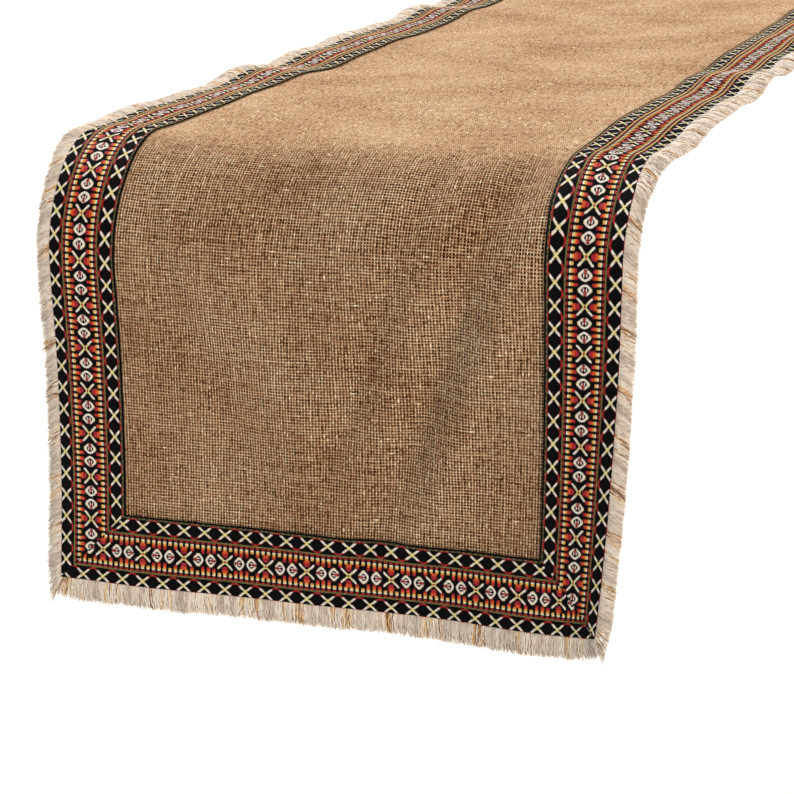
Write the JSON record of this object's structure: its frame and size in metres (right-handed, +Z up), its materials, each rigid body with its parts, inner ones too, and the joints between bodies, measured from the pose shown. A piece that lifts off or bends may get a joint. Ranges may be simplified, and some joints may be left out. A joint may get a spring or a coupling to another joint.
{
  "type": "table runner",
  "caption": "Burlap table runner with a jacquard ribbon border mitred at the corners and a cut fringe, draped over a table with both ends hanging, the front one lower.",
  "frame": {"origin": "centre of the underside of the stretch that lies flat on the table, on the table top's plane", "axes": "+X across the runner to the right as seen from its front end, +Y along it from the front hanging end to the back one, +Z up from the table top"},
  "size_m": [0.334, 1.4784, 0.2532],
  "materials": {
    "burlap": "open plain weave of sand-coloured jute, slubby and matte",
    "ribbon": "black jacquard ribbon with raised cream, red, orange and magenta silky threads",
    "tape": "plain cream heading tape that the fringe is tufted into",
    "fringe": "soft cut fringe in ivory and grey-beige with a few tan and gold threads",
    "stitch": "black sewing thread"
  },
  "bodies": {
    "table_span": {"burlap_back_bend": "burlap", "burlap_front_bend": "burlap", "burlap_span": "burlap", "fringe_left_back_bend": "fringe", "fringe_left_front_bend": "fringe", "fringe_left_span": "fringe", "fringe_right_back_bend": "fringe", "fringe_right_front_bend": "fringe", "fringe_right_span": "fringe", "ribbon_left_back_bend": "ribbon", "ribbon_left_front_bend": "ribbon", "ribbon_left_span": "ribbon", "ribbon_right_back_bend": "ribbon", "ribbon_right_front_bend": "ribbon", "ribbon_right_span": "ribbon", "stitch_left_back_bend": "stitch", "stitch_left_front_bend": "stitch", "stitch_left_span": "stitch", "stitch_right_back_bend": "stitch", "stitch_right_front_bend": "stitch", "stitch_right_span": "stitch", "tape_left_back_bend": "tape", "tape_left_front_bend": "tape", "tape_left_span": "tape", "tape_right_back_bend": "tape", "tape_right_front_bend": "tape", "tape_right_span": "tape"},
    "front_drop": {"burlap_front_drop": "burlap", "fringe_front": "fringe", "fringe_left_front_drop": "fringe", "fringe_right_front_drop": "fringe", "ribbon_front": "ribbon", "ribbon_left_front_drop": "ribbon", "ribbon_right_front_drop": "ribbon", "stitch_front": "stitch", "stitch_left_front_drop": "stitch", "stitch_right_front_drop": "stitch", "tape_front": "tape", "tape_left_front_drop": "tape", "tape_right_front_drop": "tape"},
    "back_drop": {"burlap_back_drop": "burlap", "fringe_back": "fringe", "fringe_left_back_drop": "fringe", "fringe_right_back_drop": "fringe", "ribbon_back": "ribbon", "ribbon_left_back_drop": "ribbon", "ribbon_right_back_drop": "ribbon", "stitch_back": "stitch", "stitch_left_back_drop": "stitch", "stitch_right_back_drop": "stitch", "tape_back": "tape", "tape_left_back_drop": "tape", "tape_right_back_drop": "tape"}
  },
  "joints": [
    {"name": "front_drop_lift", "type": "hinge", "parent": "table_span", "child": "front_drop", "pos_m": [0, -0.72527, -0.01073], "axis": [-1, 0, 0], "range_deg": [0, 90], "deforming": ["burlap_front_bend", "fringe_left_front_bend", "fringe_right_front_bend", "ribbon_left_front_bend", "ribbon_right_front_bend", "stitch_left_front_bend", "stitch_right_front_bend", "tape_left_front_bend", "tape_right_front_bend"]},
    {"name": "back_drop_lift", "type": "hinge", "parent": "table_span", "child": "back_drop", "pos_m": [0, 0.72527, -0.01073], "axis": [1, 0, 0], "range_deg": [0, 90], "deforming": ["burlap_back_bend", "fringe_left_back_bend", "fringe_right_back_bend", "ribbon_left_back_bend", "ribbon_right_back_bend", "stitch_left_back_bend", "stitch_right_back_bend", "tape_left_back_bend", "tape_right_back_bend"]}
  ]
}
